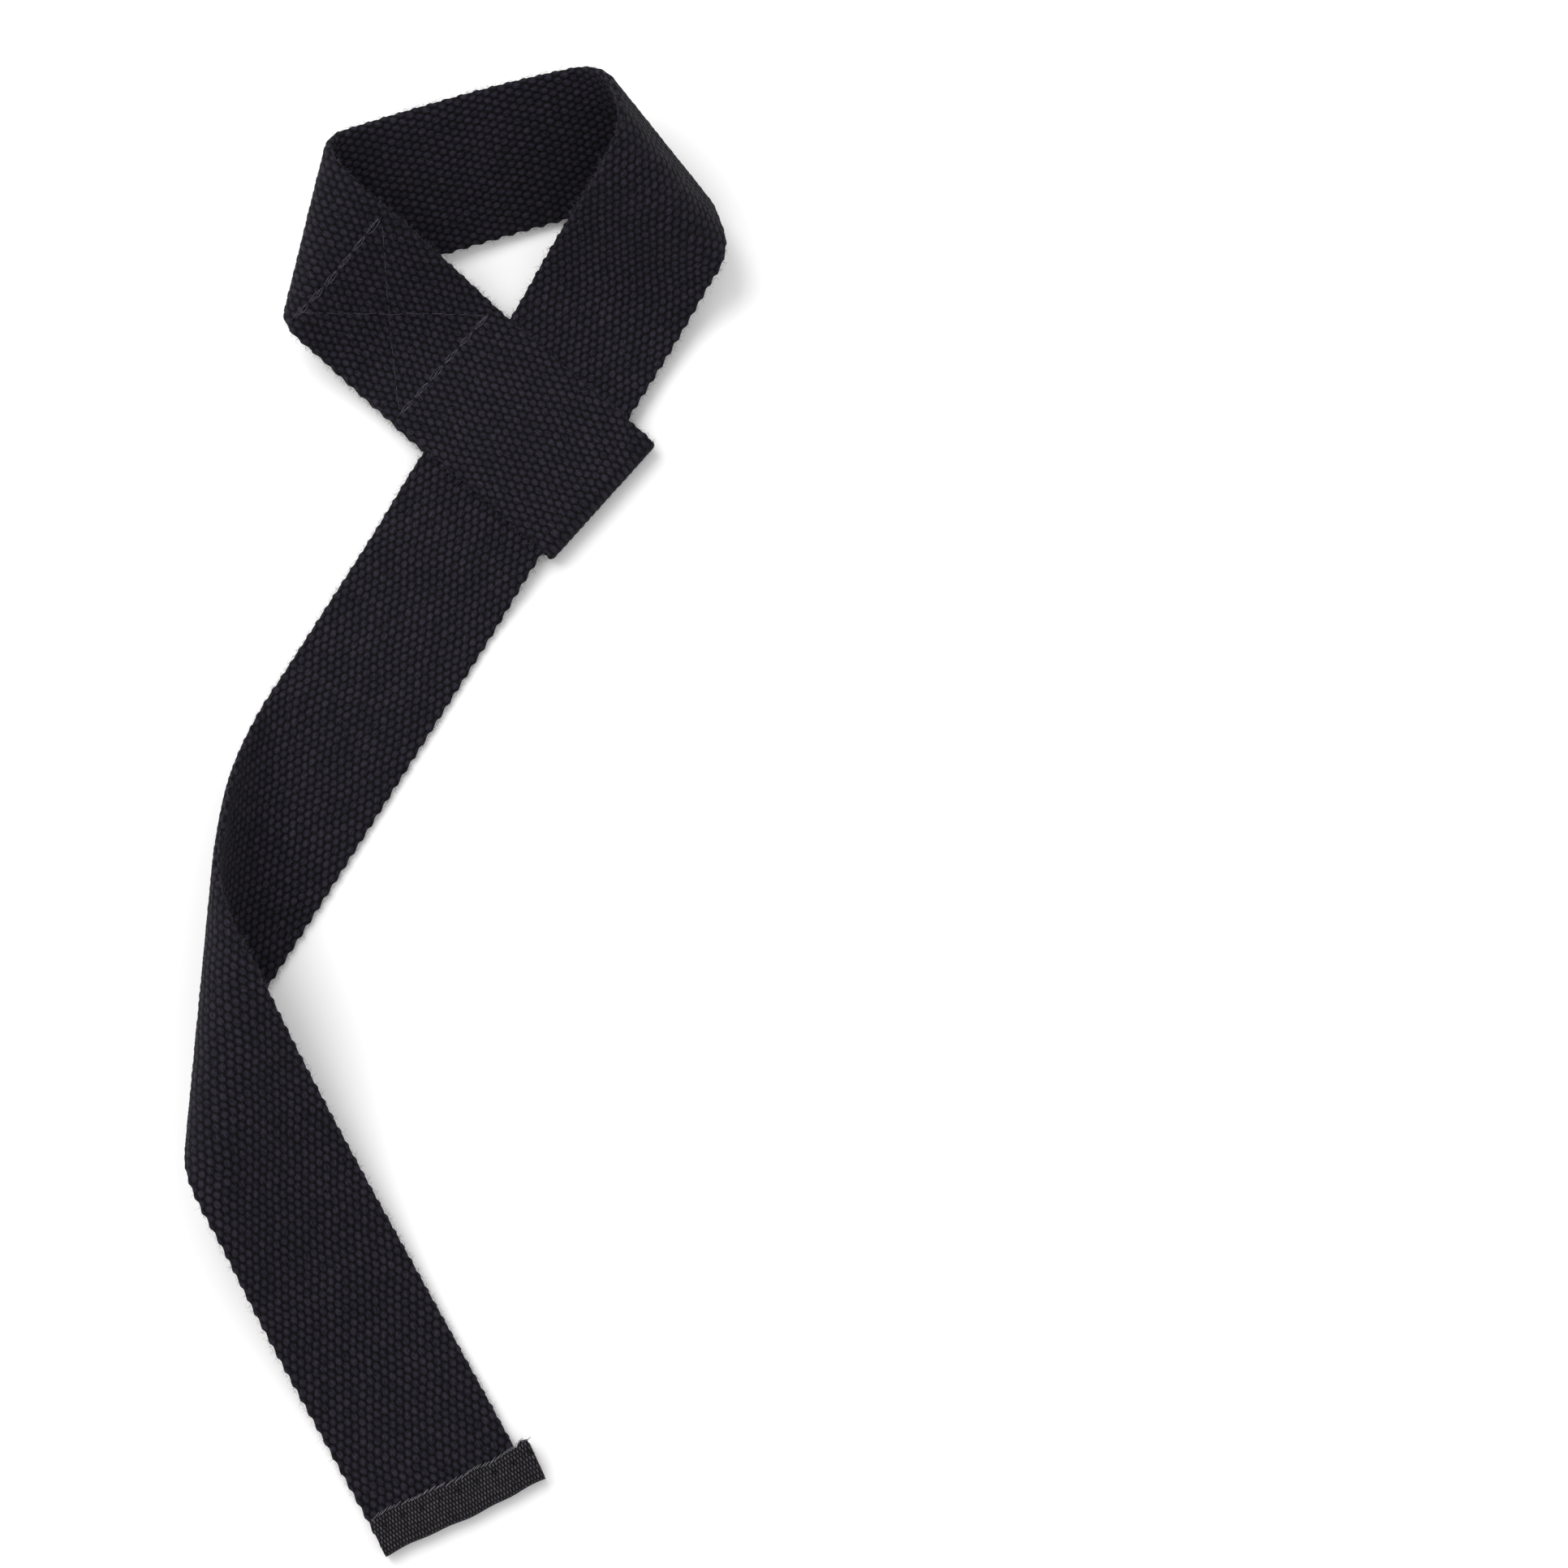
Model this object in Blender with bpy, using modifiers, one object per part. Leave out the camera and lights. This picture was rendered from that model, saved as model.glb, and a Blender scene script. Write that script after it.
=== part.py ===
"""Cotton lifting strap, lying as it was put down: noose standing open, tail turned over once.

The webbing is one flat strip that only bends. A table names each fold by where it lies along
the strip, how long the bend is, how far its crease slants and how far it turns. The strip is
walked from fold to fold, so it keeps its real width and length everywhere. Two short loops then
ease a few folds by small amounts, until the strip passes level through its own eye and its end
lies flat on the floor.
"""

from collections import namedtuple
from math import atan2, cos, hypot, pi, radians, sin, tan

import bmesh
import bpy
import numpy as np
from mathutils import Matrix, Vector

# Driving sizes, in metres
strap_width = 0.038
webbing_thickness = 0.0021
lay_gap = 0.0003
noose_length = 0.2310
tail_length = 0.3010
sewn_length = 0.036
eye_play = 0.0010
eye_closing = 0.0060
binding_length = 0.0090
binding_thickness = 0.0008
binding_overhang = 0.0030
station_step = 0.0020

# Headings seen from above, in degrees anticlockwise from +X
eye_heading = 139.0
through_eye_heading = 238.6
tail_end_heading = 299.6

# Sizes that follow from the driving sizes
layer_pitch = webbing_thickness + lay_gap
under_height = 0.5 * webbing_thickness
through_height = under_height + layer_pitch
upper_height = through_height + layer_pitch
eye_cross_angle = radians(through_eye_heading - eye_heading)
eye_half_span = 0.5 * strap_width * (1.0 / sin(eye_cross_angle) + abs(1.0 / tan(eye_cross_angle)))
eye_centre = webbing_thickness + eye_play + eye_half_span
eye_length = eye_centre + eye_half_span + eye_play + eye_closing
eye_bend_radius = layer_pitch
eye_bend_run = eye_bend_radius * pi / 2.0
end_height = under_height + binding_thickness + lay_gap

# Folds: place along the strip, length of the bend, slant of the crease and turn, in degrees
Fold = namedtuple("Fold", "name place spread slant turn")

# Places and spreads are shares of noose_length, counted from the eye's stitching
NOOSE_FOLDS = [
    Fold("eye_side", -0.035, 0.04, 0.0, 0.0),
    Fold("rise", 0.03, 0.10, 30.0, -40.0),
    Fold("left_roll_in", 0.175, 0.07, -30.0, 90.0),
    Fold("left_roll_out", 0.215, 0.07, -30.0, 90.0),
    Fold("back_wall_left", 0.325, 0.17, 0.0, 5.0),
    Fold("back_wall_right", 0.475, 0.17, 15.0, 10.0),
    Fold("right_roll_in", 0.585, 0.095, 30.0, 95.0),
    Fold("right_roll_out", 0.675, 0.09, 20.0, 105.0),
    Fold("settle", 0.80, 0.10, -25.0, -40.0),
    Fold("level", 0.86, 0.08, -20.0, -25.0),
    Fold("under_eye", 0.905, 0.04, 0.0, 0.0),
]

# Places and spreads are shares of tail_length, counted from the middle of the eye
TAIL_FOLDS = [
    Fold("eye_edge", 0.060, 0.02, 10.0, 0.0),
    Fold("step_off", 0.088, 0.04, 10.0, 9.0),
    Fold("step_down", 0.140, 0.04, 10.0, -9.0),
    Fold("floor_run", 0.175, 0.02, 10.0, 0.0),
    Fold("turn_in", 0.435, 0.20, 60.0, -90.0),
    Fold("turn_out", 0.595, 0.14, 60.0, -120.0),
    Fold("landing", 0.74, 0.18, 55.0, 20.0),
    Fold("rest", 0.865, 0.12, 30.0, 10.0),
    Fold("hem", 0.95, 0.04, -4.0, 0.0),
]

# Where the noose's back wall stands on the floor, as a share of noose_length
back_rest = 0.45

# What may be eased so that the strip closes, and by how much in one unit of easing
NOOSE_EASING = [
    ("left_roll_out", "turn", 2.0),
    ("back_wall_right", "turn", 2.0), ("back_wall_right", "slant", 3.0),
    ("right_roll_in", "place", 0.008), ("right_roll_in", "slant", 4.0),
    ("right_roll_in", "turn", 5.0), ("right_roll_out", "place", 0.008),
    ("right_roll_out", "slant", 4.0), ("right_roll_out", "turn", 5.0),
    ("settle", "slant", 3.0), ("settle", "turn", 6.0),
    ("level", "slant", 3.0), ("level", "turn", 6.0),
]
TAIL_EASING = [
    ("step_off", "turn", 1.0),
    ("turn_in", "slant", 2.0), ("turn_in", "turn", 5.0),
    ("turn_out", "slant", 3.0), ("turn_out", "turn", 5.0),
    ("landing", "slant", 5.0), ("landing", "turn", 5.0),
    ("rest", "slant", 5.0), ("rest", "turn", 4.0),
]


def heading_vector(heading):
    """Level unit vector at a heading in degrees."""
    return np.array([cos(radians(heading)), sin(radians(heading)), 0.0])


def bend_share(along, place, spread):
    """How a fold's turn is shared along the strip: even in its middle half, eased at its ends."""
    off = np.abs(along - place) / spread
    shape = np.where(off < 0.25, 1.0, 0.5 + 0.5 * np.cos(4.0 * pi * (off - 0.25)))
    return np.where(off < 0.5, shape, 0.0) / (0.75 * spread)


def turned(vector, axis, angle):
    """Vector turned about a unit axis (Rodrigues)."""
    return (vector * cos(angle) + np.cross(axis, vector) * sin(angle)
            + axis * (axis @ vector) * (1.0 - cos(angle)))


def walk_strip(folds, start, finish, point, travel, normal):
    """Stations of the bent strip from start to finish, lengths along its flat middle line.

    Between two stations the strip turns about its crease, crosswise + tan(slant) * travel.
    Each station keeps its middle, travel, normal and the crease vector that spans the strip.
    """
    steps = max(2, round((finish - start) / station_step))
    along = np.linspace(start, finish, steps + 1)
    step = (finish - start) / steps
    middle = 0.5 * (along[:-1] + along[1:])
    turn_rate = sum(radians(f.turn) * bend_share(middle, f.place, f.spread) for f in folds)
    crease = np.interp(along, [f.place for f in folds], [tan(radians(f.slant)) for f in folds])
    half_crease = 0.5 * (crease[:-1] + crease[1:])
    stations = [(point, travel, normal)]
    for slope, rate in zip(half_crease, turn_rate):
        axis = (slope * travel + np.cross(normal, travel)) / hypot(1.0, slope)
        half_turn = 0.5 * rate * step
        halfway = turned(travel, axis, half_turn)
        point = point + step * halfway
        travel = turned(halfway, axis, half_turn)
        normal = turned(normal, axis, 2.0 * half_turn)
        stations.append((point, travel, normal))
    points, travels, normals = (np.array(column) for column in zip(*stations))
    span = crease[:, None] * travels + np.cross(normals, travels)
    return along, crease, points, travels, normals, span


def in_metres(folds, unit, offset):
    """The table with places and spreads in metres along the strip."""
    return [f._replace(place=offset + unit * f.place, spread=unit * f.spread) for f in folds]


def eased(folds, easing, amounts):
    """The table with each eased value moved by its amount."""
    moved = {f.name: f for f in folds}
    for (name, column, unit), amount in zip(easing, amounts):
        value = getattr(moved[name], column) + unit * amount
        moved[name] = moved[name]._replace(**{column: value})
    return [moved[f.name] for f in folds]


def close_up(misses, count):
    """Smallest easing amounts that bring every miss to nothing (Gauss-Newton steps)."""
    nudge, tolerance, longest = 1e-5, 1e-7, 0.7
    amounts = np.zeros(count)
    for _ in range(40):
        miss = misses(amounts)
        worst = np.abs(miss).max()
        if worst < tolerance:
            break
        slopes = np.array([(misses(amounts + nudge * row) - miss) / nudge for row in np.eye(count)]).T
        damping = 1e-4 * min(10.0, worst) if worst > 0.02 else 1e-12
        change = -slopes.T @ np.linalg.solve(slopes @ slopes.T + damping * np.eye(len(miss)), miss)
        amounts = amounts + change * min(1.0, longest / np.abs(change).max())
    return amounts


def heading_miss(travel, heading):
    """How far a travel direction is off a heading, in radians."""
    wanted = heading_vector(heading)
    return atan2(wanted[0] * travel[1] - wanted[1] * travel[0], wanted @ travel)


eye_apex = np.zeros(3)
eye_way = heading_vector(eye_heading)
upward = np.array([0.0, 0.0, 1.0])
eye_middle = eye_apex + eye_way * eye_centre + upward * through_height
upper_start = eye_apex + eye_way * (0.5 * webbing_thickness + eye_bend_radius) + upward * upper_height


def walk_noose(amounts):
    """The strip from the eye's fold, round the noose, to the middle of the eye."""
    stitching = eye_length
    folds = in_metres(eased(NOOSE_FOLDS, NOOSE_EASING, amounts[:-1]), noose_length, stitching)
    finish = stitching + noose_length * (1.0 + 0.01 * amounts[-1])
    return walk_strip(folds, eye_bend_run, finish, upper_start, eye_way, upward)


def walk_tail(amounts, start):
    """The strip from the middle of the eye to the tail's end."""
    eye_edge, step_off, step_down, *rest = eased(TAIL_FOLDS, TAIL_EASING, amounts)
    step_down = step_down._replace(turn=-step_off.turn)
    folds = in_metres([eye_edge, step_off, step_down, *rest], tail_length, start)
    way = heading_vector(through_eye_heading)
    first = Fold("middle_of_eye", start, station_step, 0.0, 0.0)
    return walk_strip([first] + folds, start, start + tail_length, eye_middle, way, upward)


def noose_misses(amounts):
    """Where the noose's end is off the eye's middle, off level and off its heading.

    The back wall's lower edge is to rest on the floor as well.
    """
    along, _, points, travels, normals, span = walk_noose(amounts)
    back = np.searchsorted(along, eye_length + back_rest * noose_length)
    lower_edge = points[back] + 0.5 * strap_width * span[back]
    sideways = np.cross(normals[-1], travels[-1])
    return np.array([*(points[-1] - eye_middle) / strap_width, travels[-1][2], sideways[2],
                     heading_miss(travels[-1], through_eye_heading),
                     (lower_edge[2] - under_height) / strap_width])


def tail_misses(amounts, start):
    """Where the tail is off the floor after the eye, and its end off level and off its heading."""
    along, _, points, travels, normals, _ = walk_tail(amounts, start)
    floor_run = np.searchsorted(along, start + 0.25 * tail_length)
    sideways = np.cross(normals[-1], travels[-1])
    return np.array([(points[floor_run][2] - under_height) / strap_width,
                     (points[-1][2] - end_height) / strap_width, travels[-1][2], sideways[2],
                     heading_miss(travels[-1], tail_end_heading)])


def under_layer(along, crease, points, normals, span):
    """Rows of the folded-back layer, from its raw end to the eye's fold.

    It follows the upper layer one layer_pitch below where the two are sewn, and two below where
    the tail passes between them. The change lies just beyond the tail's edge.
    """
    rows = []
    start = eye_length - eye_closing
    for i in reversed(range(np.searchsorted(along, eye_length + sewn_length))):
        row = []
        for side in (-0.5, 0.5):
            flat_place = along[i] + side * strap_width * crease[i]
            share = min(1.0, max(0.0, (flat_place - start) / eye_closing))
            depth = layer_pitch * (2.0 - share * share * (3.0 - 2.0 * share))
            row.append(points[i] + side * strap_width * span[i] - depth * normals[i])
        rows.append(row)
    return rows


def eye_bend(across):
    """Rows round the eye's fold, from the lower layer to the upper one."""
    centre = upper_start - upward * eye_bend_radius
    rows = []
    for angle in np.linspace(-pi / 2.0, pi / 2.0, 13)[1:-1]:
        middle = centre + eye_bend_radius * (upward * sin(angle) - eye_way * cos(angle))
        rows.append([middle + side * strap_width * across for side in (-0.5, 0.5)])
    return rows


def edge_rows(points, span):
    """Both edges of each station."""
    return [[p + side * strap_width * s for side in (-0.5, 0.5)] for p, s in zip(points, span)]


def sheet_object(name, rows, thickness, material):
    """One piece of cloth: a surface through rows of points, thickened evenly to both sides."""
    shape = bmesh.new()
    grid = [[shape.verts.new(Vector(point)) for point in row] for row in rows]
    for near, far in zip(grid[:-1], grid[1:]):
        for k in range(len(near) - 1):
            shape.faces.new((near[k], near[k + 1], far[k + 1], far[k]))
    shape.normal_update()
    mesh = bpy.data.meshes.new(name)
    shape.to_mesh(mesh)
    shape.free()
    mesh.materials.append(material)
    piece = bpy.data.objects.new(name, mesh)
    solid = piece.modifiers.new("cloth thickness", "SOLIDIFY")
    solid.thickness = thickness
    solid.offset = 0.0
    solid.use_even_offset = False
    collection.objects.link(piece)
    return piece


def binding_rows():
    """Rows of the binding tape, folded round the strap's end, at its own origin.

    The end is cut a little aslant. Local X runs square to the cut, Y along it and Z up.
    """
    reach = 0.5 * webbing_thickness + lay_gap + 0.5 * binding_thickness
    profile = [(-binding_length + reach, reach)]
    profile += [(reach * cos(a), reach * sin(a)) for a in np.linspace(pi / 2.0, -pi / 2.0, 11)]
    profile += [(-binding_length + reach, -reach)]
    sides = (-0.5 * strap_width, 0.5 * strap_width + binding_overhang)
    return [[(x + lay_gap, y, z) for y in sides] for x, z in profile]


def footprint_middle(pieces):
    """Middle of the finished pieces seen from above, at floor height."""
    bpy.context.view_layer.update()
    graph = bpy.context.evaluated_depsgraph_get()
    corners = []
    for piece in pieces:
        finished = piece.evaluated_get(graph)
        corners += [finished.matrix_world @ vertex.co for vertex in finished.to_mesh().vertices]
        finished.to_mesh_clear()
    xs, ys, _ = zip(*corners)
    return Vector((0.5 * (min(xs) + max(xs)), 0.5 * (min(ys) + max(ys)), 0.0))


def cloth_material(name, colour, roughness):
    """Matte cloth of one colour."""
    material = bpy.data.materials.new(name)
    material.use_nodes = True
    shader = material.node_tree.nodes["Principled BSDF"]
    shader.inputs["Base Color"].default_value = (*colour, 1.0)
    shader.inputs["Roughness"].default_value = roughness
    shader.inputs["Metallic"].default_value = 0.0
    return material


def build():
    """The strap and its binding, with the origin at the middle of the footprint, on the floor."""
    closing = close_up(noose_misses, len(NOOSE_EASING) + 1)
    along, crease, points, travels, normals, span = walk_noose(closing)
    across = np.cross(upward, eye_way)
    rows = under_layer(along, crease, points, normals, span) + eye_bend(across)
    rows += edge_rows(points, span)

    start = along[-1]
    laying = close_up(lambda amounts: tail_misses(amounts, start), len(TAIL_EASING))
    _, _, points, travels, normals, span = walk_tail(laying, start)
    rows += edge_rows(points[1:], span[1:])

    cotton = cloth_material("black cotton webbing", (0.012, 0.011, 0.015), 0.95)
    tape = cloth_material("black binding tape", (0.016, 0.015, 0.018), 0.9)
    webbing = sheet_object("strap_webbing", rows, webbing_thickness, cotton)
    binding = sheet_object("tail_binding", binding_rows(), binding_thickness, tape)
    end_way, end_up = np.cross(span[-1], normals[-1]), -normals[-1]
    end_way /= np.linalg.norm(end_way)
    turn = Matrix([end_way, np.cross(end_up, end_way), end_up]).transposed()
    end_place = Matrix.Translation(points[-1]) @ turn.to_4x4()
    binding.matrix_world = end_place

    footprint = footprint_middle([webbing, binding])
    webbing.data.transform(Matrix.Translation(-footprint))
    binding.matrix_world = Matrix.Translation(-footprint) @ end_place


for leftover in list(bpy.data.objects):
    bpy.data.objects.remove(leftover)
collection = bpy.data.collections.new("lifting_strap")
bpy.context.scene.collection.children.link(collection)
build()
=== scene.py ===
"""Cotton lifting strap, dressed: woven webbing, box and cross stitching, and a bound tail.

The strip is laid as in the part's source: flat, and bent about the creases of a fold table. Every
visible piece is then worked out in the strip's own flat coordinates, so that the weave, the
stitches and the cut end stay square to the cloth while it rolls and turns over.
"""

from collections import namedtuple
from math import atan2, cos, hypot, pi, radians, sin, tan

import bpy
import numpy as np
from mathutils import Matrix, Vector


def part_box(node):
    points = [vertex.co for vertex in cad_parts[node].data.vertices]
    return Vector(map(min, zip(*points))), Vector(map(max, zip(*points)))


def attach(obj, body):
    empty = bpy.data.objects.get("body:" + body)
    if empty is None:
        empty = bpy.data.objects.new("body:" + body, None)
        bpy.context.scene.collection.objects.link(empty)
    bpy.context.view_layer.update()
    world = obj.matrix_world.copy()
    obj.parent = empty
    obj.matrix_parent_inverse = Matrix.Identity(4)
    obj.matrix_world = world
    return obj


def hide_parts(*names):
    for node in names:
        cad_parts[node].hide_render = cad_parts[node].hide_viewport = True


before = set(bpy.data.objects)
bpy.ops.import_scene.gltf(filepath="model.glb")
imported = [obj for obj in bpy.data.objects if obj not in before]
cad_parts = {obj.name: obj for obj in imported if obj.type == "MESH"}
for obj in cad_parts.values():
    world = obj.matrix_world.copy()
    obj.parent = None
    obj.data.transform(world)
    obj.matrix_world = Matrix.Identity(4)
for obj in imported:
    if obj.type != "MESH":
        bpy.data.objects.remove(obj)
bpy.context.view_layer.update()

# Sizes of the strip, in metres, and headings in degrees, as in the part's source
strap_width = 0.038
webbing_thickness = 0.0021
lay_gap = 0.0003
noose_length = 0.2310
tail_length = 0.3010
sewn_length = 0.036
eye_play = 0.0010
eye_closing = 0.0060
binding_length = 0.0090
binding_thickness = 0.0008
binding_overhang = 0.0030
station_step = 0.0020
eye_heading = 139.0
through_eye_heading = 238.6
tail_end_heading = 299.6

layer_pitch = webbing_thickness + lay_gap
under_height = 0.5 * webbing_thickness
through_height = under_height + layer_pitch
upper_height = through_height + layer_pitch
eye_cross_angle = radians(through_eye_heading - eye_heading)
eye_half_span = 0.5 * strap_width * (1.0 / sin(eye_cross_angle) + abs(1.0 / tan(eye_cross_angle)))
eye_centre = webbing_thickness + eye_play + eye_half_span
eye_length = eye_centre + eye_half_span + eye_play + eye_closing
eye_bend_radius = layer_pitch
eye_bend_run = eye_bend_radius * pi / 2.0
end_height = under_height + binding_thickness + lay_gap
raw_end = eye_length + sewn_length

Fold = namedtuple("Fold", "name place spread slant turn")
Strip = namedtuple("Strip", "along crease points travels normals span")

# Places and spreads are shares of noose_length, counted from the eye's stitching
NOOSE_FOLDS = [
    Fold("eye_side", -0.035, 0.04, 0.0, 0.0),
    Fold("rise", 0.03, 0.10, 30.0, -40.0),
    Fold("left_roll_in", 0.175, 0.07, -30.0, 90.0),
    Fold("left_roll_out", 0.215, 0.07, -30.0, 90.0),
    Fold("back_wall_left", 0.325, 0.17, 0.0, 5.0),
    Fold("back_wall_right", 0.475, 0.17, 15.0, 10.0),
    Fold("right_roll_in", 0.585, 0.095, 30.0, 95.0),
    Fold("right_roll_out", 0.675, 0.09, 20.0, 105.0),
    Fold("settle", 0.80, 0.10, -25.0, -40.0),
    Fold("level", 0.86, 0.08, -20.0, -25.0),
    Fold("under_eye", 0.905, 0.04, 0.0, 0.0),
]

# Places and spreads are shares of tail_length, counted from the middle of the eye
TAIL_FOLDS = [
    Fold("eye_edge", 0.060, 0.02, 10.0, 0.0),
    Fold("step_off", 0.088, 0.04, 10.0, 9.0),
    Fold("step_down", 0.140, 0.04, 10.0, -9.0),
    Fold("floor_run", 0.175, 0.02, 10.0, 0.0),
    Fold("turn_in", 0.435, 0.20, 60.0, -90.0),
    Fold("turn_out", 0.595, 0.14, 60.0, -120.0),
    Fold("landing", 0.74, 0.18, 55.0, 20.0),
    Fold("rest", 0.865, 0.12, 30.0, 10.0),
    Fold("hem", 0.95, 0.04, -4.0, 0.0),
]

# Where the noose's back wall stands on the floor, as a share of noose_length, and where the tail
# is back on the floor after the eye, as a share of tail_length
back_rest = 0.45
floor_rest = 0.25

# What may be eased so that the strip closes, and by how much in one unit of easing
NOOSE_EASING = [
    ("left_roll_out", "turn", 2.0),
    ("back_wall_right", "turn", 2.0), ("back_wall_right", "slant", 3.0),
    ("right_roll_in", "place", 0.008), ("right_roll_in", "slant", 4.0),
    ("right_roll_in", "turn", 5.0), ("right_roll_out", "place", 0.008),
    ("right_roll_out", "slant", 4.0), ("right_roll_out", "turn", 5.0),
    ("settle", "slant", 3.0), ("settle", "turn", 6.0),
    ("level", "slant", 3.0), ("level", "turn", 6.0),
]
TAIL_EASING = [
    ("step_off", "turn", 1.0),
    ("turn_in", "slant", 2.0), ("turn_in", "turn", 5.0),
    ("turn_out", "slant", 3.0), ("turn_out", "turn", 5.0),
    ("landing", "slant", 5.0), ("landing", "turn", 5.0),
    ("rest", "slant", 5.0), ("rest", "turn", 4.0),
]


def heading_vector(heading):
    """Level unit vector at a heading in degrees."""
    return np.array([cos(radians(heading)), sin(radians(heading)), 0.0])


def bend_share(along, place, spread):
    """How a fold's turn is shared along the strip: even in its middle half, eased at its ends."""
    off = np.abs(along - place) / spread
    shape = np.where(off < 0.25, 1.0, 0.5 + 0.5 * np.cos(4.0 * pi * (off - 0.25)))
    return np.where(off < 0.5, shape, 0.0) / (0.75 * spread)


def turned(vector, axis, angle):
    """Vector turned about a unit axis (Rodrigues)."""
    return (vector * cos(angle) + np.cross(axis, vector) * sin(angle)
            + axis * (axis @ vector) * (1.0 - cos(angle)))


def walk_strip(folds, start, finish, point, travel, normal, longest_step=station_step):
    """Stations of the bent strip, turned between two stations about its crease.

    The crease is crosswise + tan(slant) * travel; its vector spans the strip at each station.
    """
    steps = max(2, round((finish - start) / longest_step))
    along = np.linspace(start, finish, steps + 1)
    step = (finish - start) / steps
    middle = 0.5 * (along[:-1] + along[1:])
    turn_rate = sum(radians(f.turn) * bend_share(middle, f.place, f.spread) for f in folds)
    crease = np.interp(along, [f.place for f in folds], [tan(radians(f.slant)) for f in folds])
    half_crease = 0.5 * (crease[:-1] + crease[1:])
    stations = [(point, travel, normal)]
    for slope, rate in zip(half_crease, turn_rate):
        axis = (slope * travel + np.cross(normal, travel)) / hypot(1.0, slope)
        half_turn = 0.5 * rate * step
        halfway = turned(travel, axis, half_turn)
        point = point + step * halfway
        travel = turned(halfway, axis, half_turn)
        normal = turned(normal, axis, 2.0 * half_turn)
        stations.append((point, travel, normal))
    points, travels, normals = (np.array(column) for column in zip(*stations))
    span = crease[:, None] * travels + np.cross(normals, travels)
    return Strip(along, crease, points, travels, normals, span)


def in_metres(folds, unit, offset):
    """The table with places and spreads in metres along the strip."""
    return [f._replace(place=offset + unit * f.place, spread=unit * f.spread) for f in folds]


def eased(folds, easing, amounts):
    """The table with each eased value moved by its amount."""
    moved = {f.name: f for f in folds}
    for (name, column, unit), amount in zip(easing, amounts):
        value = getattr(moved[name], column) + unit * amount
        moved[name] = moved[name]._replace(**{column: value})
    return [moved[f.name] for f in folds]


def close_up(misses, count):
    """Smallest easing amounts that bring every miss to nothing (Gauss-Newton steps).

    The steps are damped while the worst miss is large, and none moves an amount by more than
    longest.
    """
    nudge, tolerance, longest, most_rounds = 1e-5, 1e-7, 0.7, 40
    amounts = np.zeros(count)
    for _ in range(most_rounds):
        miss = misses(amounts)
        worst = np.abs(miss).max()
        if worst < tolerance:
            break
        columns = [(misses(amounts + nudge * row) - miss) / nudge for row in np.eye(count)]
        slopes = np.array(columns).T
        damping = 1e-4 * min(10.0, worst) if worst > 0.02 else 1e-12
        change = -slopes.T @ np.linalg.solve(slopes @ slopes.T + damping * np.eye(len(miss)), miss)
        amounts = amounts + change * min(1.0, longest / np.abs(change).max())
    return amounts


def heading_miss(travel, heading):
    """How far a travel direction is off a heading, in radians."""
    wanted = heading_vector(heading)
    return atan2(wanted[0] * travel[1] - wanted[1] * travel[0], wanted @ travel)


eye_way = heading_vector(eye_heading)
upward = np.array([0.0, 0.0, 1.0])
eye_middle = eye_way * eye_centre + upward * through_height
upper_start = eye_way * (0.5 * webbing_thickness + eye_bend_radius) + upward * upper_height


def walk_noose(amounts, step=station_step):
    """The strip from the eye's fold, round the noose, to the middle of the eye."""
    folds = in_metres(eased(NOOSE_FOLDS, NOOSE_EASING, amounts[:-1]), noose_length, eye_length)
    finish = eye_length + noose_length * (1.0 + 0.01 * amounts[-1])
    return walk_strip(folds, eye_bend_run, finish, upper_start, eye_way, upward, step)


def walk_tail(amounts, start, step=station_step):
    """The strip from the middle of the eye to the tail's end."""
    eye_edge, step_off, step_down, *rest = eased(TAIL_FOLDS, TAIL_EASING, amounts)
    step_down = step_down._replace(turn=-step_off.turn)
    folds = in_metres([eye_edge, step_off, step_down, *rest], tail_length, start)
    way = heading_vector(through_eye_heading)
    first = Fold("middle_of_eye", start, station_step, 0.0, 0.0)
    return walk_strip([first] + folds, start, start + tail_length, eye_middle, way, upward, step)


def noose_misses(amounts):
    """How far the noose's end is off the eye, off level and off heading, and its wall off floor.

    Places are in shares of the strip's width and headings in radians, so that all weigh alike.
    """
    noose = walk_noose(amounts)
    back = np.searchsorted(noose.along, eye_length + back_rest * noose_length)
    lower_edge = noose.points[back] + 0.5 * strap_width * noose.span[back]
    sideways = np.cross(noose.normals[-1], noose.travels[-1])
    return np.array([*(noose.points[-1] - eye_middle) / strap_width, noose.travels[-1][2],
                     sideways[2], heading_miss(noose.travels[-1], through_eye_heading),
                     (lower_edge[2] - under_height) / strap_width])


def tail_misses(amounts, start):
    """How far the tail is off the floor after the eye, and its end off level and off heading."""
    tail = walk_tail(amounts, start)
    floor_run = np.searchsorted(tail.along, start + floor_rest * tail_length)
    sideways = np.cross(tail.normals[-1], tail.travels[-1])
    return np.array([(tail.points[floor_run][2] - under_height) / strap_width,
                     (tail.points[-1][2] - end_height) / strap_width, tail.travels[-1][2],
                     sideways[2], heading_miss(tail.travels[-1], tail_end_heading)])


# Laying the strip: the folds are eased at the part's own steps, then walked finely
fine_step = 0.0005
closing = close_up(noose_misses, len(NOOSE_EASING) + 1)
through_eye = walk_noose(closing).along[-1]
laying = close_up(lambda amounts: tail_misses(amounts, through_eye), len(TAIL_EASING))
noose_strip = walk_noose(closing, fine_step)
tail_strip = walk_tail(laying, through_eye, fine_step)
tail_end = tail_strip.along[-1]


def plain_faces(strip):
    """Points on both faces of a strip's two edges, without any weave."""
    edges = [strip.points + side * strap_width * strip.span for side in (-0.5, 0.5)]
    return np.concatenate([e + h * strip.normals for e in edges
                           for h in (-0.5 * webbing_thickness, 0.5 * webbing_thickness)])


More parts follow.
